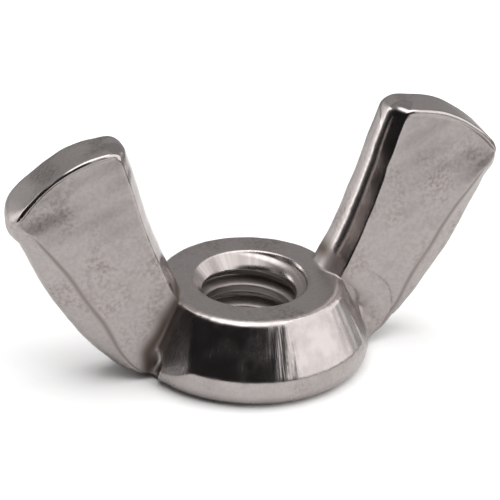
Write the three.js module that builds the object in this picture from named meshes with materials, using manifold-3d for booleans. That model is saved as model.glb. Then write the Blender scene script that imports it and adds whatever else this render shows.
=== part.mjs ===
// Wing nut, light series, cold forged in stainless steel and tapped No. 10-24 UNC.
//
// The nut is one forged piece: a conical hub over a short round band, two wings that lean out
// from it, and a countersunk hole with a right-hand thread. Millimetres, +Z up. The origin is
// the centre of the base face, the wings spread along X, and their thickness is along Y.

import * as THREE from "three";
import { mergeVertices } from "three/addons/utils/BufferGeometryUtils.js";
import Module from "manifold-3d";

// ---- driving dimensions -------------------------------------------------------------------

const HUB_BASE_RADIUS = 5.2;
const HUB_TOP_RADIUS = 3.9;
const HUB_HEIGHT = 3.5;
const BAND_HEIGHT = 1.3;           // the short, nearly upright wall under the cone
const BAND_DRAFT = 0.06;           // how much narrower the band is at its top
const BASE_EDGE_RADIUS = 0.3;      // rolled edge around the base face

const THREAD_MAJOR_DIAMETER = 4.826;
const THREAD_MINOR_DIAMETER = 3.9;
const THREAD_PITCH = 25.4 / 24;
const GROOVE_ROOT_SHARE = 1 / 8;   // flat at the bottom of the groove, as a share of the pitch
const RIDGE_TOP_SHARE = 1 / 4;     // flat on the ridge that the drill left, likewise
const COUNTERSINK_RADIUS = 2.53;   // both ends of the hole, at 45 degrees

const WING_SPREAD = 22.3;
const WING_ROOT_THICKNESS = 2.2;
const WING_TIP_THICKNESS = 1.8;
const WING_EDGE_INSET = 0.5;       // the broad face stops this far inside the edge
const WING_EDGE_DEPTH = 0.6;       // and the chamfer between them takes this much thickness
const WING_CROWN = 0.7;            // rise of the arched top over the chord between its corners
const WING_FOOT_X = 3.1;           // where the inner edge meets the hub's top face
const INNER_CORNER = new THREE.Vector2(6.0, 10.97);
const OUTER_CORNER = new THREE.Vector2(WING_SPREAD / 2, 8.35);
const LOWER_CORNER = new THREE.Vector2(5.6, 0.1);      // runs out just clear of the base face
const INNER_SWEEP = new THREE.Vector2(4.55, 6.15);     // what the curved edges bend towards
const OUTER_SWEEP = new THREE.Vector2(8.3, 2.2);
const CORNER_FLAT = 0.35;          // the top corners are cut off this far along each edge

// ---- resolution ---------------------------------------------------------------------------

const HUB_SEGMENTS = 80;
const WING_CURVE_SEGMENTS = 9;
const THREAD_SIDES = 24;
const THREAD_STEPS_PER_TURN = 16;

const wasm = await Module();
wasm.setup();

// ---- solids -------------------------------------------------------------------------------

// Triangles that shrink to nothing, as they do around a lathe's poles, are left out.
function toSolid(geometry) {
  const bare = geometry.clone();
  bare.deleteAttribute("normal");
  bare.deleteAttribute("uv");
  const merged = mergeVertices(bare, 1e-4);
  const corners = merged.index.array;
  const triangles = [];
  for (let i = 0; i < corners.length; i += 3) {
    const [a, b, c] = corners.slice(i, i + 3);
    if (a !== b && b !== c && c !== a) {
      triangles.push(a, b, c);
    }
  }
  return new wasm.Manifold(new wasm.Mesh({
    numProp: 3,
    vertProperties: new Float32Array(merged.attributes.position.array),
    triVerts: new Uint32Array(triangles),
  }));
}

function toGeometry(solid) {
  const mesh = solid.getMesh();
  const geometry = new THREE.BufferGeometry();
  geometry.setAttribute("position", new THREE.BufferAttribute(mesh.vertProperties, 3));
  geometry.setIndex(new THREE.BufferAttribute(mesh.triVerts, 1));
  geometry.computeVertexNormals();
  return geometry;
}

// A solid of revolution about +Z. LatheGeometry turns about +Y, so it is stood up afterwards.
function turned(profile, segments) {
  return new THREE.LatheGeometry(profile, segments).rotateX(Math.PI / 2);
}

// ---- hub ----------------------------------------------------------------------------------

// Half section: base face, rolled lower edge, band, cone, flat top face.
function hubProfile() {
  const section = new THREE.Path();
  section.moveTo(0, 0);
  section.lineTo(HUB_BASE_RADIUS - BASE_EDGE_RADIUS, 0);
  section.absarc(
    HUB_BASE_RADIUS - BASE_EDGE_RADIUS, BASE_EDGE_RADIUS, BASE_EDGE_RADIUS, -Math.PI / 2, 0, false,
  );
  section.lineTo(HUB_BASE_RADIUS - BAND_DRAFT, BAND_HEIGHT);
  section.lineTo(HUB_TOP_RADIUS, HUB_HEIGHT);
  section.lineTo(0, HUB_HEIGHT);
  return section.getPoints(3);
}

// ---- hole ---------------------------------------------------------------------------------

// Depth of the thread at a share of the pitch: 0 on the ridge, 1 at the root of the groove.
function grooveDepth(share) {
  const flank = (1 - GROOVE_ROOT_SHARE - RIDGE_TOP_SHARE) / 2;
  const fromGroove = Math.abs(share - 0.5) - GROOVE_ROOT_SHARE / 2;
  return 1 - THREE.MathUtils.clamp(fromGroove / flank, 0, 1);
}

// The blank that the tap removes. Any level section through a single-start thread is the same closed
// curve, turned once per pitch, so a straight extrusion is made and then twisted.
function tapShape() {
  const minor = THREAD_MINOR_DIAMETER / 2;
  const major = THREAD_MAJOR_DIAMETER / 2;
  const points = [];
  for (let side = 0; side < THREAD_SIDES; side++) {
    const share = side / THREAD_SIDES;
    const angle = -2 * Math.PI * share;
    const radius = minor + (major - minor) * grooveDepth(share);
    points.push(new THREE.Vector2(radius * Math.cos(angle), radius * Math.sin(angle)));
  }
  const length = HUB_HEIGHT + 2 * THREAD_PITCH;
  const rod = new THREE.ExtrudeGeometry(new THREE.Shape(points), {
    depth: length,
    steps: Math.round((length / THREAD_PITCH) * THREAD_STEPS_PER_TURN),
    bevelEnabled: false,
  });
  const position = rod.attributes.position;
  const axis = new THREE.Vector3(0, 0, 1);
  const vertex = new THREE.Vector3();
  for (let i = 0; i < position.count; i++) {
    vertex.fromBufferAttribute(position, i);
    vertex.applyAxisAngle(axis, (2 * Math.PI * vertex.z) / THREAD_PITCH);
    position.setXYZ(i, vertex.x, vertex.y, vertex.z);
  }
  return rod.translate(0, 0, -THREAD_PITCH);
}

// Both countersinks as one closed solid: a cone down from the top and one up from the base,
// each run past its face and joined inside the hole where the tap clears the metal anyway.
function countersinks() {
  const over = 0.5;
  const tip = THREAD_MINOR_DIAMETER / 2 - over;
  const depth = COUNTERSINK_RADIUS - tip;
  return turned([
    new THREE.Vector2(0, -over),
    new THREE.Vector2(COUNTERSINK_RADIUS + over, -over),
    new THREE.Vector2(tip, depth),
    new THREE.Vector2(tip, HUB_HEIGHT - depth),
    new THREE.Vector2(COUNTERSINK_RADIUS + over, HUB_HEIGHT + over),
    new THREE.Vector2(0, HUB_HEIGHT + over),
  ], HUB_SEGMENTS);
}

// ---- wings --------------------------------------------------------------------------------

// Side view of the wing on +X: x is the distance from the axis, y is the height. The inner
// and outer edges are swept curves and the top is a low arch. Each top corner is a short
// flat, long enough to be still there where the broad face starts.
function wingOutline() {
  const chord = OUTER_CORNER.clone().sub(INNER_CORNER);
  const rise = new THREE.Vector2(-chord.y, chord.x).setLength(2 * WING_CROWN);
  const crownControl = INNER_CORNER.clone().lerp(OUTER_CORNER, 0.5).add(rise);
  const shape = new THREE.Shape();
  shape.moveTo(WING_FOOT_X, LOWER_CORNER.y);
  shape.lineTo(WING_FOOT_X, HUB_HEIGHT);
  shape.quadraticCurveTo(
    INNER_SWEEP.x, INNER_SWEEP.y, INNER_CORNER.x, INNER_CORNER.y - CORNER_FLAT,
  );
  shape.lineTo(INNER_CORNER.x + CORNER_FLAT, INNER_CORNER.y);
  shape.quadraticCurveTo(
    crownControl.x, crownControl.y, OUTER_CORNER.x - CORNER_FLAT, OUTER_CORNER.y + CORNER_FLAT,
  );
  shape.lineTo(OUTER_CORNER.x, OUTER_CORNER.y - CORNER_FLAT);
  shape.quadraticCurveTo(OUTER_SWEEP.x, OUTER_SWEEP.y, LOWER_CORNER.x, LOWER_CORNER.y);
  return shape;
}

// The outline gets its thickness along Y, thinner towards the top, with chamfered edges.
function wing() {
  const body = WING_ROOT_THICKNESS - 2 * WING_EDGE_DEPTH;
  const blank = new THREE.ExtrudeGeometry(wingOutline(), {
    depth: body,
    steps: 1,
    curveSegments: WING_CURVE_SEGMENTS,
    bevelEnabled: true,
    bevelThickness: WING_EDGE_DEPTH,
    bevelSize: WING_EDGE_INSET,
    bevelOffset: -WING_EDGE_INSET,
    bevelSegments: 1,
  });
  blank.translate(0, 0, -body / 2);
  blank.rotateX(Math.PI / 2);
  const position = blank.attributes.position;
  const tipShare = WING_TIP_THICKNESS / WING_ROOT_THICKNESS;
  for (let i = 0; i < position.count; i++) {
    const rise = THREE.MathUtils.clamp(
      (position.getZ(i) - HUB_HEIGHT) / (INNER_CORNER.y - HUB_HEIGHT), 0, 1,
    );
    position.setY(i, position.getY(i) * THREE.MathUtils.lerp(1, tipShare, rise));
  }
  return blank;
}

// ---- the nut ------------------------------------------------------------------------------

function wingNut() {
  let nut = toSolid(turned(hubProfile(), HUB_SEGMENTS));
  for (const turn of [0, Math.PI]) {
    nut = nut.add(toSolid(wing().rotateZ(turn)));
  }
  nut = nut.subtract(toSolid(countersinks()));
  nut = nut.subtract(toSolid(tapShape()));
  return toGeometry(nut);
}

const stainlessSteel = new THREE.MeshStandardMaterial({
  color: 0x9c9390,
  roughness: 0.3,
  metalness: 1.0,
});

const nut = new THREE.Mesh(wingNut(), stainlessSteel);
nut.name = "wing_nut";

const model = new THREE.Group();
model.add(nut);

export default model;
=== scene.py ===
import math

import bmesh
import bpy
import numpy as np
from mathutils import Matrix, Vector


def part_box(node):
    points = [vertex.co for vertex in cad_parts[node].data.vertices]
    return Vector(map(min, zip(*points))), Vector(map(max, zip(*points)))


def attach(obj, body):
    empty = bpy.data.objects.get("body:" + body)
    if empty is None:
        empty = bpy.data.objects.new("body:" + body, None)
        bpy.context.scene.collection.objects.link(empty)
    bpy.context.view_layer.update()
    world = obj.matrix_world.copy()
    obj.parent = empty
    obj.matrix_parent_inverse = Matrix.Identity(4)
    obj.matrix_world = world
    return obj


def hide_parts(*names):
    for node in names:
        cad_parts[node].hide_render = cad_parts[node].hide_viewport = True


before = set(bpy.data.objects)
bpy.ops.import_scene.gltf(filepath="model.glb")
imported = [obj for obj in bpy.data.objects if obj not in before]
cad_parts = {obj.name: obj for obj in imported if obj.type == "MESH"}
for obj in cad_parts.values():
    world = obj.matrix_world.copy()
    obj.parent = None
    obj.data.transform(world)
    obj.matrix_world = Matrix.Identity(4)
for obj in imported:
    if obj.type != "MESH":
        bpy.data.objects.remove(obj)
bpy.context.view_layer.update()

# A cold-forged stainless wing nut, modelled as light series and tapped No. 10-24. Lengths are
# metres in the settings and the scene. The shape is worked out in millimetres, as a distance
# field over the whole nut, because the forging has no seams: its hub, wings and hole run into
# each other.

bl_info = {
    "name": "Wing nut",
    "version": (1, 0, 0),
    "blender": (4, 0, 0),
    "location": "View3D > Sidebar > Wing nut",
    "description": "Builds a forged stainless wing nut on its packed frame, with a studio stage",
    "category": "Add Mesh",
}

MM = 0.001
NUT_LOW, NUT_HIGH = (Vector(corner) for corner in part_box("wing_nut"))


def linear_colour(hex_colour):
    """An sRGB hex colour as the linear RGBA that a shader takes."""
    parts = [int(hex_colour[i : i + 2], 16) / 255 for i in (1, 3, 5)]
    return [c / 12.92 if c <= 0.04045 else ((c + 0.055) / 1.055) ** 2.4 for c in parts] + [1.0]


# ---- settings ------------------------------------------------------------------------------


def length(name, description, default):
    return bpy.props.FloatProperty(
        name=name,
        description=description,
        default=default,
        min=0.0,
        precision=5,
        unit="LENGTH",
        subtype="DISTANCE",
    )


def colour(name, description, hex_colour):
    return bpy.props.FloatVectorProperty(
        name=name,
        description=description,
        default=linear_colour(hex_colour)[:3],
        size=3,
        min=0.0,
        max=1.0,
        subtype="COLOR",
    )


class NutSettings(bpy.types.PropertyGroup):
    base_radius: length(
        "Base radius", "Radius of the band under the cone", (NUT_HIGH.y - NUT_LOW.y) / 2
    )
    top_radius: length("Top radius", "Radius of the faced top of the hub", 0.0039)
    hub_height: length("Hub height", "Height of the hub's top face over its base", 0.0035)
    band_height: length("Band height", "Height of the band under the cone", 0.0013)
    sink_radius: length("Countersink radius", "Radius of the countersink at each face", 0.00253)
    minor_radius: length("Minor radius", "Radius at the thread's ridges", 0.00195)
    major_radius: length("Major radius", "Radius at the bottom of the thread's grooves", 0.002413)
    pitch: length("Pitch", "Rise of the thread in one turn", 0.0254 / 24)
    wing_height: length("Wing height", "Height of the wings' inner corners", NUT_HIGH.z)
    wing_span: length("Wing span", "Distance across both wings", NUT_HIGH.x - NUT_LOW.x)
    root_half: length("Wing root", "Half thickness of a wing beside the hub's top", 0.00107)
    tip_half: length("Wing tip", "Half thickness of a wing at its top", 0.00092)
    steel: colour("Steel", "Colour of the clean metal", "#A8A19F")
    # This colour is used for real smudges and pores, and also for the painted shade in the folds,
    # the seam groove and the thread's grooves.
    grime_and_shade: colour("Grime", "Colour of the oxide left in folds and thread", "#5C4F47")


class StageSettings(bpy.types.PropertyGroup):
    floor_size: length("Floor size", "Width of the square floor", 0.06)
    camera_distance: length("Camera distance", "From the camera to what it looks at", 0.1705)
    look_height: length("Look height", "Height of what the camera looks at", 0.00488)
    look_left: length("Look left", "How far left of the hole's axis the camera looks", 0.000099)
    azimuth: bpy.props.FloatProperty(
        name="Azimuth",
        description="Turn of the camera about the nut, positive towards +X",
        default=math.radians(-22.6),
        subtype="ANGLE",
        unit="ROTATION",
    )
    elevation: bpy.props.FloatProperty(
        name="Elevation",
        description="Height of the camera over the floor, as an angle",
        default=math.radians(28.3),
        subtype="ANGLE",
        unit="ROTATION",
    )
    roll: bpy.props.FloatProperty(
        name="Roll",
        description="Turn of the camera about its own line of sight",
        default=math.radians(2.3),
        subtype="ANGLE",
        unit="ROTATION",
    )
    lens: bpy.props.FloatProperty(
        name="Lens",
        description="Focal length of the camera, in millimetres",
        default=288.0,
        unit="CAMERA",
    )


# ---- shape, in millimetres -----------------------------------------------------------------


def smooth_max(a, b, size):
    """The larger of two distances, with the edge between them rounded over that size."""
    return np.maximum(a, b) + np.maximum(size - np.abs(a - b), 0) ** 2 / (4 * size)


def smooth_min(a, b, size):
    """The smaller of two distances, with the corner between them filled over that size."""
    return -smooth_max(-a, -b, size)


def chamfer(a, b, along_a, along_b):
    """A flat cut across the edge where two surfaces meet, along_a and along_b back from it."""
    return (a / along_a + b / along_b + 1) / np.hypot(1 / along_a, 1 / along_b)


def blend01(value, start, end):
    """0 before start, 1 after end, and a smooth rise between them."""
    t = np.clip((value - start) / (end - start), 0, 1)
    return t * t * (3 - 2 * t)


class Curve:
    """An edge of the wing's side view, as a smooth function through a few stations."""

    def __init__(self, at, value, degree):
        self.function = np.poly1d(np.polyfit(at, value, degree))
        self.slope = self.function.deriv()

    def distance(self, at, value):
        return (value - self.function(at)) / np.sqrt(1 + self.slope(at) ** 2)


class NutShape:
    """Signed distances to the nut and its parts. Negative is inside the metal."""

    BASE_DRAFT = 0.1  # the band is this much narrower at the base
    BASE_EDGE = 0.7  # rolled edge around the base face
    CONE_EDGE = 0.12  # rounding where the cone meets the band
    RIM = 0.24  # and where it meets the faced top
    GROOVE_ROOT = 1 / 8  # flats of the thread, as shares of the pitch
    RIDGE_TOP = 1 / 4
    FOOT_FILLET = 0.09  # between wing and hub
    FOOT_FILL = 0.7  # and this much more low down, on the side where the metal piled up
    CORNER_ROUNDING = (0.45, 0.6)  # of the wing's two top corners, inner and outer
    INNER_ROUNDING = (0.22, 0.12)  # of the inner edge's two chamfers, front and back
    OUTER_ROUNDING = 0.35  # of the chamfer along the outer edge
    HOLE_ROUNDING = 0.05  # burr taken off where the hole breaks through the faces
    FRONT_CHAMFER = 0.49  # on the inner edge, in the wing's plane
    FRONT_RIDGE = 0.16  # and through the thickness it stops this far short of the middle
    BACK_CHAMFER = (0.15, 0.22)  # the same edge at the back, in the plane and through it
    OUTER_CHAMFER = (0.45, 0.50)  # on the outer edge, in the plane and through it
    OUTER_WIDENING = 0.65  # growth of that chamfer, in the plane, half way down the wing
    OUTER_SEAM = 0.05  # depth of the fine groove where that chamfer meets the broad face
    TIP_LIP = 0.16  # the outer edge stands out this much further at the tip
    FACE_SINK = 0.05  # the broad faces lie this far under the rim of the top edge
    FACE_SINK_MORE = 0.12  # and this much further at the rim's outer end
    ROOT_FLAT = Vector((0.942, 0.325, 0.46))  # faces out beside each wing, where the dies meet
    ROOT_FLAT_REACH = 5.45  # and lies this far along that direction
    PIT_CENTRE = Vector((5.35, 1.35, 1.0))  # hollow left low down on the other side
    PIT_REACH = Vector((0.9, 0.6, 0.8))  # how far it goes each way from there
    THREAD_START = 0.37  # where on the rim the thread begins, as a share of a turn

    def __init__(self, settings):
        self.base = settings.base_radius / MM
        self.top = settings.top_radius / MM
        self.height = settings.hub_height / MM
        self.band = settings.band_height / MM
        self.sink = settings.sink_radius / MM
        self.minor = settings.minor_radius / MM
        self.major = settings.major_radius / MM
        self.pitch = settings.pitch / MM
        self.root_half = settings.root_half / MM
        self.tip_half = settings.tip_half / MM
        self.tall = settings.wing_height / MM
        reach = settings.wing_span / MM / 2
        # The wing's side view: stations along each edge, from the hub outwards or upwards. The
        # inner and outer edges give a distance from the axis at a height, the crown a height.
        self.inner = Curve(
            (self.height, 4.52, 5.95, 8.31, self.tall), (3.14, 3.67, 4.30, 5.12, 6.0), 3
        )
        self.outer = Curve(
            (0.0, 0.52, 1.5, 2.99, 5.3, 7.45, 8.41),
            (5.55, 6.09, 7.17, 8.32, 9.67, 10.8, reach + 0.08),
            3,
        )
        self.crown = Curve(
            (6.0, 7.59, 8.99, 10.2, 10.92), (self.tall, 10.81, 10.25, 9.33, 8.5), 3
        )

    def wall(self, r, z):
        """Band and cone, without the faces above and below."""
        band = r - self.base + self.BASE_DRAFT * (1 - z / self.band)
        run, rise = self.base - self.top, self.height - self.band
        cone = ((r - self.base) * rise + (z - self.band) * run) / math.hypot(run, rise)
        return smooth_max(band, cone, self.CONE_EDGE)

    def wing_planes(self, u, y, z):
        """Distances to the surfaces of a wing: top, inner edge, outer edge and broad faces."""
        rise = (z - self.height) / (self.tall - self.height)
        half = self.root_half + (self.tip_half - self.root_half) * rise
        ridge = half - self.FRONT_RIDGE
        top = self.crown.distance(u, z)
        inner = -self.inner.distance(z, u)
        outer = self.outer.distance(z, u) - self.TIP_LIP * blend01(-top, 1.5, 0.6)
        # The faces are sunk near the top only, and a rim is left standing along the top edge.
        sunk = self.FACE_SINK + self.FACE_SINK_MORE * blend01(u, 8.4, 10.6)
        sunk = sunk * blend01(-top, 0.12, 0.30) * blend01(-inner, 0.1, 0.9)
        face = np.abs(y) - half + sunk * blend01(z, 7.0, 8.8)
        shift = face - np.abs(y)
        front_cut = chamfer(inner, shift - y, self.FRONT_CHAMFER, ridge)
        back_cut = chamfer(inner, shift + y, *self.BACK_CHAMFER)
        along, through = self.OUTER_CHAMFER
        along = along + self.OUTER_WIDENING * blend01(z, 8.6, 5.0) * blend01(z, 0.6, 3.4)
        outer_cut = chamfer(outer, face, along, through)
        return {
            "top": top,
            "inner": inner,
            "outer": outer,
            "face": face,
            "front_cut": front_cut,
            "back_cut": back_cut,
            "outer_cut": outer_cut,
        }

    def wing(self, planes):
        """One wing from its surfaces, with each edge rounded as the die rounds it."""
        top, face = planes["top"], planes["face"]
        front_rounding, back_rounding = self.INNER_ROUNDING
        inner_corner, outer_corner = self.CORNER_ROUNDING
        inner = smooth_max(planes["inner"], planes["front_cut"], front_rounding)
        inner = smooth_max(inner, planes["back_cut"], back_rounding)
        outer = smooth_max(planes["outer"], planes["outer_cut"], self.OUTER_ROUNDING)
        edge = smooth_max(smooth_max(top, inner, inner_corner), outer, outer_corner)
        rounding = 0.05 + 0.12 * blend01(-top, 0.5, 0.1)
        seam = np.exp(-(((planes["outer_cut"] - face) / 0.045) ** 2)) * blend01(-top, 0.5, 2.0)
        return smooth_max(edge, face, rounding) + self.OUTER_SEAM * seam

    def forged(self, x, y, z):
        """The blank as it leaves the die: wall, wings and the slopes between them."""
        r = np.hypot(x, y)
        u = np.abs(x)
        side = y * np.sign(x)
        wall = self.wall(r, z) + self.hand_polish(x, y, z)
        wing = self.wing(self.wing_planes(u, y, z))
        wing = wing + self.ripple(x, y, z) + self.folds(u, side, z)
        along, across, up = self.ROOT_FLAT
        flat = along * u + across * np.abs(y) + up * z - self.ROOT_FLAT_REACH
        away = 0.0
        for at, centre, reach in zip((u, np.abs(y), z), self.PIT_CENTRE, self.PIT_REACH):
            away = away + ((at - centre) / reach) ** 2
        pit = (1 - np.sqrt(away)) * self.PIT_REACH.y
        hub = smooth_max(wall, flat / self.ROOT_FLAT.length, 0.06)
        hub = smooth_max(hub, np.where(side > 0, pit, -1.0), 0.10)
        hub = smooth_max(hub, z - self.height, self.RIM)
        filled = blend01(-side, 0.3, 0.9) * blend01(z, 2.6, 1.0)
        return smooth_min(hub, wing, self.FOOT_FILLET + self.FOOT_FILL * filled)

    def ripple(self, x, y, z):
        """The slight waviness that the die and the tumbling barrel leave."""
        wide = np.sin(1.9 * x + 0.7 * z) * np.sin(1.3 * z - 0.8 * x + 0.6)
        close = np.sin(4.3 * x - 2.1 * z + 1.7 * y) * np.sin(3.7 * z + 1.9 * x + 2.0)
        return 0.022 * wide + 0.008 * close

    def folds(self, u, side, z):
        """Laps and small lumps at the root, on the side where the metal piled up in the die."""
        near = np.exp(-(((u - 5.2) / 1.0) ** 2) - ((z - 2.1) / 1.3) ** 2) * blend01(-side, 0.2, 0.6)
        lap = 1 - np.abs(np.sin(2.1 * u + 1.5 * z + 0.8 * np.sin(1.7 * z))) ** 0.5
        lump = np.sin(4.3 * z + 1.0 * u) * np.sin(5.1 * u - 2.3 * z + 1.0)
        return near * (0.26 * lap + 0.04 * lump)

    def hand_polish(self, x, y, z):
        """The facets and fine drag lines that buffing by hand leaves on the cone."""
        turn = np.arctan2(y, x)
        wide = 0.014 * np.sin(3 * turn + 0.9) * np.sin(1.1 * z)
        close = 0.006 * np.sin(23 * turn + 0.7 * z) + 0.0022 * np.sin(61 * turn - 1.9 * z)
        return wide + close

    def hole(self, x, y, z):
        """The tapped hole and both countersinks. Positive is inside the hole, clear of metal."""
        r = np.hypot(x, y)
        turn = np.arctan2(y, x) / (2 * math.pi) - self.THREAD_START
        from_groove = np.abs(np.mod(z / self.pitch - turn, 1.0) - 0.5)
        depth = blend01(from_groove, (1 - self.RIDGE_TOP) / 2, self.GROOVE_ROOT / 2)
        thread = (self.minor + (self.major - self.minor) * depth - r) * 0.6
        upper = (self.sink - (self.height - z) - r) / math.sqrt(2)
        upper = np.minimum(upper, self.height + 0.35 - z)
        lower = (self.sink - z - r) / math.sqrt(2)
        return smooth_max(thread, np.maximum(upper, lower), 0.08)

    def distance(self, points):
        """How far each point is from the finished nut's surface."""
        x, y, z = points[..., 0], points[..., 1], points[..., 2]
        blank = smooth_max(self.forged(x, y, z), -z, self.BASE_EDGE)
        return smooth_max(blank, self.hole(x, y, z), self.HOLE_ROUNDING)

    def gradient(self, points, step=0.004):
        """Outward direction at each point, from the field's change over a short step."""
        slopes = []
        for axis in np.eye(3) * step:
            slopes.append(self.distance(points + axis) - self.distance(points - axis))
        return np.stack(slopes, axis=-1) / (2 * step)

    def finishes(self, points, normals):
        """How each point was finished, as shares from 0 to 1, with the shares that place painted
        shade in the folds and the thread's grooves.
        """
        x, y, z = points.T
        r = np.hypot(x, y)
        wall = self.wall(r, z)
        planes = self.wing_planes(np.abs(x), y, z)
        wing = self.wing(planes)
        level = blend01(normals[:, 2], 0.90, 0.98)
        inside = blend01(self.sink + 0.04 - r, -0.05, 0.05) * blend01(self.height + 0.1 - z, 0, 0.1)
        sunk = inside * blend01(self.sink - (self.height - z) - r, -0.12, -0.04)
        bored = inside * (1 - sunk)
        faced = level * blend01(0.06 - np.abs(z - self.height), 0, 0.03) * (1 - inside)
        polished = blend01(0.12 - wall, -0.15, 0.0) * blend01(wing, 0.15, 0.6)
        on_cone = 0.45 + 0.55 * blend01(z, 0.9, 1.5)  # the band below is buffed less
        polished = polished * (1 - faced) * (1 - inside) * on_cone
        # Painted shade along the join of wall and wing, at about a third of its strength on the side
        # with the folds.
        meeting = np.abs(wall) + np.abs(wing)
        crevice_shade = np.exp(-((meeting / 0.36) ** 2)) * (1 - inside)
        crevice_shade = crevice_shade * (0.35 + 0.65 * blend01(y * np.sign(x), -0.5, 0.5))
        on_wing = blend01(wall, 0.1, 0.3)
        # Painted shade along the fine seam groove of the outer chamfer, which is joined to the
        # join's shade below.
        seam = np.exp(-(((planes["outer_cut"] - planes["face"]) / 0.05) ** 2))
        seam = seam * blend01(-planes["top"], 0.5, 2.0) * on_wing
        bevel = planes["front_cut"] - np.maximum(planes["inner"], planes["face"])
        ridge = blend01(bevel, -0.12, -0.02)
        rim = np.exp(-(((planes["top"] - planes["face"]) / 0.12) ** 2))
        # Painted shade in the thread's grooves, out beyond the ridges' radius.
        groove = bored * blend01(r, self.minor + 0.05, self.major - 0.05)
        return {
            "faced": faced,
            "sunk": sunk,
            "bored": bored,
            "polished": polished,
            "crevice_shade": np.maximum(crevice_shade, 0.6 * seam),
            "groove": groove,
            "worn": np.maximum(ridge, rim) * on_wing * (1 - seam),
        }


# ---- mesh from the field -------------------------------------------------------------------

FINE_CELL, QUICK_CELL = 0.06, 0.1  # cells that the field is sampled in, in millimetres
BLOCK = 8  # cells along each side of the blocks that the field is sampled in
CELL_CORNERS = [(i, j, k) for i in (0, 1) for j in (0, 1) for k in (0, 1)]


def busy_blocks(shape, low, cell, counts):
    """Blocks that the surface may pass through, as whole-number block positions."""
    blocks = np.stack(np.meshgrid(*[np.arange(n) for n in counts], indexing="ij"), axis=-1)
    blocks = blocks.reshape(-1, 3)
    centres = low + (blocks + 0.5) * BLOCK * cell
    # Half a block's diagonal, and a third more because the field isn't an exact distance.
    reach = math.sqrt(3) / 2 * BLOCK * cell * 1.35 + 0.1
    return blocks[np.abs(shape.distance(centres)) < reach]


def surface_cells(shape, low, cell, blocks):
    """Grid cells that the surface crosses: their positions and their 8 corner distances."""
    offsets = np.stack(np.meshgrid(*[np.arange(BLOCK + 1)] * 3, indexing="ij"), axis=-1)
    found, values = [], []
    for chunk in np.array_split(blocks, max(1, len(blocks) // 400)):
        grid = chunk[:, None, None, None, :] * BLOCK + offsets
        field = shape.distance(low + grid * cell)
        corners = []
        for i, j, k in CELL_CORNERS:
            corners.append(field[:, i : i + BLOCK, j : j + BLOCK, k : k + BLOCK])
        corners = np.stack(corners, axis=-1)
        inside = (corners < 0).sum(axis=-1)
        crossed = (inside > 0) & (inside < 8)
        found.append(grid[:, :BLOCK, :BLOCK, :BLOCK][crossed])
        values.append(corners[crossed])
    return np.concatenate(found), np.concatenate(values)


def cell_points(cells, values, low, cell):
    """One point in each cell, at the mean of where its edges cross the surface."""
    total = np.zeros((len(cells), 3))
    count = np.zeros((len(cells), 1))
    spots = np.array(CELL_CORNERS, dtype=float)
    for a in range(8):
        for b in range(a + 1, 8):
            if np.abs(spots[a] - spots[b]).sum() != 1:
                continue
            crossed = ((values[:, a] < 0) != (values[:, b] < 0))[:, None]
            share = values[:, a] / np.where(crossed[:, 0], values[:, a] - values[:, b], 1.0)
            point = spots[a] + share[:, None] * (spots[b] - spots[a])
            total += np.where(crossed, point, 0)
            count += crossed
    return low + (cells + total / count) * cell


def net_faces(cells, values):
    """A four-sided face around each grid edge that the surface crosses."""
    span = cells.max(axis=0) + 2
    keys = (cells[:, 0] * span[1] + cells[:, 1]) * span[2] + cells[:, 2]
    order = np.argsort(keys)
    ranked = keys[order]
    faces = []
    for axis in range(3):
        far = CELL_CORNERS.index(tuple(int(a == axis) for a in range(3)))
        start_inside = values[:, 0] < 0
        crossed = start_inside != (values[:, far] < 0)
        steps = [np.eye(3, dtype=int)[(axis + turn) % 3] for turn in (1, 2)]
        around = [0 * steps[0], steps[0], steps[0] + steps[1], steps[1]]
        corners = []
        for step in around:
            near = cells[crossed] - step
            wanted = (near[:, 0] * span[1] + near[:, 1]) * span[2] + near[:, 2]
            corners.append(order[np.searchsorted(ranked, wanted)])
        quads = np.stack(corners, axis=-1)
        outward = start_inside[crossed]
        faces.append(quads[outward])
        faces.append(quads[~outward][:, ::-1])
    return np.concatenate(faces)


def settle(shape, points, rounds=4):
    """Moves points along the field's slope until they lie on the surface. Each step stops a
    little short, and flat spots in the field count as steeper, so none overshoots."""
    for _ in range(rounds):
        slope = shape.gradient(points)
        size = np.maximum((slope**2).sum(axis=1), 0.2)
        points = points - slope * (shape.distance(points) / size)[:, None] * 0.9
    return points


def nut_mesh(shape, cell):
    """The whole nut as one mesh, with its normals and finishes, from cells of that size."""
    # The frame's box with a little room around it, in whole blocks.
    margin = 4 * cell
    low = np.array(NUT_LOW) / MM - margin - 0.3
    high = np.array(NUT_HIGH) / MM + margin + 0.3
    counts = np.ceil((high - low) / (BLOCK * cell)).astype(int)
    blocks = busy_blocks(shape, low, cell, counts)
    cells, values = surface_cells(shape, low, cell, blocks)
    points = settle(shape, cell_points(cells, values, low, cell))
    mesh = bpy.data.meshes.new("wing_nut_forged")
    mesh.from_pydata((points * MM).tolist(), [], net_faces(cells, values).tolist())
    # Points that settled almost on each other are joined, which leaves one clean closed skin.
    skin = bmesh.new()
    skin.from_mesh(mesh)
    bmesh.ops.remove_doubles(skin, verts=skin.verts[:], dist=cell * MM / 4)
    points = np.array([vertex.co for vertex in skin.verts]) / MM
    skin.to_mesh(mesh)
    skin.free()
    normals = shape.gradient(points)
    normals /= np.linalg.norm(normals, axis=1, keepdims=True)
    mesh.shade_smooth()
    mesh.normals_split_custom_set_from_vertices(normals.tolist())
    for name, share in shape.finishes(points, normals).items():
        attribute = mesh.attributes.new(name, "FLOAT", "POINT")
        attribute.data.foreach_set("value", share.astype(np.float32))
    return mesh


# ---- materials -----------------------------------------------------------------------------


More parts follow.
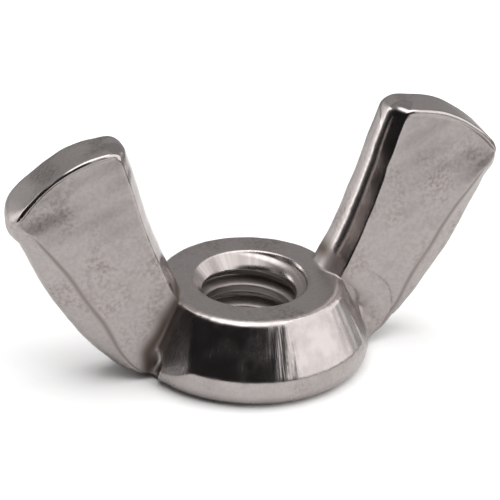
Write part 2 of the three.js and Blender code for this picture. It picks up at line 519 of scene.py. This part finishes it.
def add(tree, kind, links=None, **settings):
    """Adds a node with its settings and what feeds its sockets, and gives back its outputs."""
    node = tree.nodes.new("ShaderNode" + kind)
    for name, value in settings.items():
        setattr(node, name, value)
    for name, value in (links or {}).items():
        if isinstance(value, bpy.types.NodeSocket):
            tree.links.new(value, node.inputs[name])
        else:
            node.inputs[name].default_value = value
    return node.outputs


def stainless_steel(settings):
    """Cold-forged 18-8 stainless, barrel tumbled. The wings come out satin with soft mottling,
    the cone is buffed nearly to a mirror with fine scratches, the top face shows the rings of
    the facing tool and the countersink its chatter, and painted shade darkens the folds, the
    seam groove and the thread's grooves."""
    material = bpy.data.materials.new("stainless_steel_tumbled")
    material.use_nodes = True
    tree = material.node_tree
    tree.nodes.clear()
    finishes = ("faced", "sunk", "bored", "polished", "crevice_shade", "groove", "worn")
    share = {name: add(tree, "Attribute", attribute_name=name)["Fac"] for name in finishes}

    # Tool marks run round the hole, so they are laid out by radius, turn and height. Each
    # space is stretched along its marks: one radian counts as the metres given for it.
    place = add(tree, "TexCoord")["Object"]
    split = add(tree, "SeparateXYZ", {"Vector": place})
    level = add(tree, "VectorMath", {0: place, 1: (1, 1, 0)}, operation="MULTIPLY")[0]
    radius = add(tree, "VectorMath", {0: level}, operation="LENGTH")["Value"]
    turn = add(tree, "Math", {0: split["Y"], 1: split["X"]}, operation="ARCTAN2")[0]
    around = add(tree, "CombineXYZ", {"X": radius, "Y": turn})[0]
    upward = add(tree, "CombineXYZ", {"X": turn, "Z": split["Z"]})[0]
    spaces = {"metal": place}
    for name, source, stretch in (
        ("rings", around, (1.0, 0.0004, 0.0)),
        ("spokes", around, (0.08, 0.0022, 0.0)),
        ("strokes", upward, (0.0045, 0.0, 0.05)),
    ):
        spaces[name] = add(tree, "VectorMath", {0: source, 1: stretch}, operation="MULTIPLY")[0]

    # Size of each pattern in millimetres, its levels of finer detail, and its space. Real
    # tumbling grain and buffing scratches are finer, and are drawn as coarse as they need to show.
    pattern = {}
    for name, size, detail, space in (
        ("cloud", 2.2, 4.0, "metal"),
        ("haze", 0.9, 3.0, "metal"),
        ("grain", 0.16, 5.0, "metal"),
        ("rings", 0.05, 2.0, "rings"),
        ("chatter", 0.22, 2.0, "spokes"),
        ("scratches", 0.07, 3.0, "strokes"),
    ):
        links = {"Vector": spaces[space], "Scale": 1 / (size * MM), "Detail": detail}
        pattern[name] = add(tree, "TexNoise", {**links, "Roughness": 0.55})["Fac"]

    # The same patterns with more contrast, so that they read as patches with bare metal between.
    for name, source, low, high in (
        ("blotch", "cloud", 0.46, 0.66),
        ("mottle", "haze", 0.35, 0.70),
        ("specks", "grain", 0.38, 0.66),
        ("pores", "grain", 0.35, 0.65),
        ("stripes", "chatter", 0.35, 0.65),
    ):
        links = {"Value": pattern[source], "From Min": low, "From Max": high}
        pattern[name] = add(tree, "MapRange", links, interpolation_type="SMOOTHSTEP")[0]
    links = {0: pattern["blotch"], 1: pattern["specks"]}
    pattern["smudge"] = add(tree, "Math", links, operation="MULTIPLY")[0]

    # Each quality is built up from the tumbled metal outwards. A finish covers the ones listed
    # before it, with a plain value and then how much each pattern adds.
    qualities = {
        "roughness": (
            ("tumbled", 0.34, {"blotch": -0.08, "grain": 0.08}),
            ("polished", 0.09, {"scratches": 0.16, "mottle": 0.10}),
            ("worn", 0.16, {}),
            ("faced", 0.22, {"rings": 0.2}),
            ("sunk", 0.18, {"chatter": 0.2}),
            ("bored", 0.38, {"grain": 0.1}),
            ("crevice_shade", 0.5, {}),
        ),
        "grime_and_shade": (
            ("tumbled", 0.0, {"blotch": 0.08, "smudge": 0.28, "pores": 0.12}),
            ("polished", 0.0, {"mottle": 0.18}),
            ("sunk", 0.0, {"stripes": 0.15}),
            # The whole bore is darkened towards the grime colour.
            ("bored", 0.32, {}),
        ),
        "relief": (
            ("tumbled", 0.0, {"grain": 1.0}),
            ("polished", 0.0, {"scratches": 1.6, "blotch": 1.2, "grain": 0.4}),
            ("faced", 0.0, {"rings": 0.5}),
            ("sunk", 0.0, {"chatter": 0.35}),
            ("bored", 0.0, {"grain": 0.6}),
        ),
    }
    built = {}
    for quality, layers in qualities.items():
        for finish, value, amounts in layers:
            for name, amount in amounts.items():
                links = {0: pattern[name], 1: amount, 2: value}
                value = add(tree, "Math", links, operation="MULTIPLY_ADD")[0]
            if finish in share:
                links = {"Factor": share[finish], 2: built[quality], 3: value}
                value = add(tree, "Mix", links, data_type="FLOAT")[0]
            built[quality] = value

    # Painted shade in the recesses: the thread's grooves, and the folds and seam where wing meets
    # hub, are darkened towards the grime colour, whatever the finish around them.
    grime_and_shade = built["grime_and_shade"]
    for name, most in (("groove", 0.5), ("crevice_shade", 0.9)):
        kept = add(tree, "Math", {0: share[name], 1: most}, operation="MULTIPLY")[0]
        grime_and_shade = add(tree, "Math", {0: grime_and_shade, 1: kept}, operation="MAXIMUM")[0]
    colours = {6: [*settings.steel, 1.0], 7: [*settings.grime_and_shade, 1.0]}
    tint = add(tree, "Mix", {"Factor": grime_and_shade, **colours}, data_type="RGBA")[2]

    links = {"Strength": 0.55, "Distance": 0.006 * MM, "Height": built["relief"]}
    bump = add(tree, "Bump", links)["Normal"]
    links = {"Base Color": tint, "Metallic": 1.0, "Roughness": built["roughness"], "Normal": bump}
    add(tree, "OutputMaterial", {"Surface": add(tree, "BsdfPrincipled", links)[0]})
    return material


def floor_card():
    """Matt white backdrop card, pressed smooth, with a faint paper tooth about 0.4 mm across."""
    material = bpy.data.materials.new("white_card_matt")
    material.use_nodes = True
    tree = material.node_tree
    tree.nodes.clear()
    place = add(tree, "TexCoord")["Object"]
    links = {"Vector": place, "Scale": 1 / (0.4 * MM), "Detail": 3.0}
    tooth = add(tree, "TexNoise", links)["Fac"]
    whites = {6: linear_colour("#F6F6F5"), 7: linear_colour("#F9F9F9")}
    white = add(tree, "Mix", {"Factor": tooth, **whites}, data_type="RGBA")[2]
    links = {"Base Color": white, "Roughness": 0.8, "Specular IOR Level": 0.1}
    add(tree, "OutputMaterial", {"Surface": add(tree, "BsdfPrincipled", links)[0]})
    return material


# ---- stage ---------------------------------------------------------------------------------


def camera_axes(azimuth, elevation):
    """Unit vectors from the nut to the camera, to the camera's right, and up in its view."""
    back = Vector(
        (
            math.sin(azimuth) * math.cos(elevation),
            -math.cos(azimuth) * math.cos(elevation),
            math.sin(elevation),
        )
    )
    right = Vector((math.cos(azimuth), math.sin(azimuth), 0.0))
    return back, right, back.cross(right)


def studio_world(azimuth):
    """Soft studio light by direction: a bright tent to the right, a bright ceiling, a grey back
    wall and a dark gap at the front, which buffed metal shows as its near-black band."""
    world = bpy.data.worlds.new("studio_tent")
    world.use_nodes = True
    tree = world.node_tree
    tree.nodes.clear()

    # Which way a ray goes: its turn to the right of the front, and its height over level.
    way = add(tree, "TexCoord")["Generated"]
    front, right, up = (
        add(tree, "VectorMath", {0: way, 1: axis}, operation="DOT_PRODUCT")["Value"]
        for axis in (
            (math.sin(azimuth), -math.cos(azimuth), 0.0),
            (math.cos(azimuth), math.sin(azimuth), 0.0),
            (0.0, 0.0, 1.0),
        )
    )
    turn = add(tree, "Math", {0: right, 1: front}, operation="ARCTAN2")[0]
    height = add(tree, "Math", {0: up}, operation="ARCSINE")[0]

    # The gap is a little lighter at its far left than in the rest of it.
    ends = {"From Min": math.radians(-90), "From Max": math.radians(-80)}
    fade = add(tree, "MapRange", {"Value": turn, **ends}, interpolation_type="SMOOTHSTEP")[0]
    dark = add(tree, "Mix", {"Factor": fade, 2: 0.10, 3: 0.02}, data_type="FLOAT")[0]

    # From the back wall outwards, each one's brightness, and where it fades in, in degrees.
    level = 0.42
    for brightness, edges in (
        (3.4, ((height, 56, 66),)),  # ceiling
        (dark, ((turn, -101, -95), (turn, 43, 37), (height, 56, 44))),  # gap
        (3.5, ((turn, -116, -112), (turn, -96, -100), (height, -25, -15), (height, 40, 30))),  # card
        (2.1, ((turn, 38, 44), (turn, 133, 127), (height, 2, 10), (height, 66, 58))),  # tent
    ):
        mask = 1.0
        for measure, start, end in edges:
            ends = {"From Min": math.radians(start), "From Max": math.radians(end)}
            links = {"Value": measure, **ends}
            edge = add(tree, "MapRange", links, interpolation_type="SMOOTHSTEP")[0]
            mask = add(tree, "Math", {0: mask, 1: edge}, operation="MULTIPLY")[0]
        links = {"Factor": mask, 2: level, 3: brightness}
        level = add(tree, "Mix", links, data_type="FLOAT")[0]

    # Seen directly, all of it is one pale backdrop, which runs on from the floor card.
    seen = add(tree, "LightPath")["Is Camera Ray"]
    level = add(tree, "Mix", {"Factor": seen, 2: level, 3: 1.1}, data_type="FLOAT")[0]
    links = {"Color": linear_colour("#FFFFFF"), "Strength": level}
    add(tree, "OutputWorld", {"Surface": add(tree, "Background", links)[0]})
    return world


# ---- operators and panel -------------------------------------------------------------------


class NUT_OT_wing_nut(bpy.types.Operator):
    """Build the forged nut as one seamless piece and give it its steel"""

    bl_idname = "wingnut.build_nut"
    bl_label = "Build the wing nut"

    def execute(self, context):
        settings = context.scene.nut_settings
        mesh = nut_mesh(NutShape(settings), FINE_CELL)
        if len(mesh.polygons) == 0:
            raise RuntimeError("the nut's surface came out empty")
        nut = bpy.data.objects.new("wing_nut_forging", mesh)
        context.scene.collection.objects.link(nut)
        mesh.materials.append(stainless_steel(settings))
        context.view_layer.update()
        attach(nut, "root")
        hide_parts("wing_nut")
        return {"FINISHED"}


class NUT_OT_stage(bpy.types.Operator):
    """Lay the pale floor, light it softly and set up the camera"""

    bl_idname = "wingnut.build_stage"
    bl_label = "Build the stage"

    def execute(self, context):
        settings = context.scene.stage_settings
        half = settings.floor_size / 2
        mesh = bpy.data.meshes.new("floor")
        mesh.from_pydata(
            [(-half, -half, 0), (half, -half, 0), (half, half, 0), (-half, half, 0)],
            [],
            [(0, 1, 2, 3)],
        )
        floor = bpy.data.objects.new("floor", mesh)
        floor.location.z = NUT_LOW.z
        context.scene.collection.objects.link(floor)
        mesh.materials.append(floor_card())

        context.scene.world = studio_world(settings.azimuth)
        context.scene.view_settings.view_transform = "Standard"

        back, right, up = camera_axes(settings.azimuth, settings.elevation)
        roll = Matrix.Rotation(settings.roll, 3, back)
        right, up = roll @ right, roll @ up
        middle = (NUT_LOW + NUT_HIGH) / 2
        target = Vector((middle.x, middle.y, NUT_LOW.z + settings.look_height))
        target -= right * settings.look_left
        data = bpy.data.cameras.new("camera")
        data.lens = settings.lens
        data.sensor_width = 36.0
        data.clip_start = 0.005
        data.clip_end = 10.0
        camera = bpy.data.objects.new("camera", data)
        turned = Matrix((right, up, back)).transposed().to_4x4()
        camera.matrix_world = (
            Matrix.Translation(target + back * settings.camera_distance) @ turned
        )
        context.scene.collection.objects.link(camera)
        context.scene.camera = camera
        return {"FINISHED"}


class NUT_PT_panel(bpy.types.Panel):
    """The wing nut's settings and its build steps"""

    bl_idname = "NUT_PT_panel"
    bl_label = "Wing nut"
    bl_space_type = "VIEW_3D"
    bl_region_type = "UI"
    bl_category = "Wing nut"

    def draw(self, context):
        for settings, operator in (
            (context.scene.nut_settings, NUT_OT_wing_nut),
            (context.scene.stage_settings, NUT_OT_stage),
        ):
            box = self.layout.box()
            for name in settings.__annotations__:
                box.prop(settings, name)
            box.operator(operator.bl_idname)


CLASSES = (NutSettings, StageSettings, NUT_OT_wing_nut, NUT_OT_stage, NUT_PT_panel)


def register():
    for cls in CLASSES:
        bpy.utils.register_class(cls)
    bpy.types.Scene.nut_settings = bpy.props.PointerProperty(type=NutSettings)
    bpy.types.Scene.stage_settings = bpy.props.PointerProperty(type=StageSettings)


def unregister():
    del bpy.types.Scene.stage_settings
    del bpy.types.Scene.nut_settings
    for cls in reversed(CLASSES):
        bpy.utils.unregister_class(cls)


def main():
    register()
    bpy.ops.wingnut.build_nut()
    bpy.ops.wingnut.build_stage()


if __name__ == "__main__":
    main()
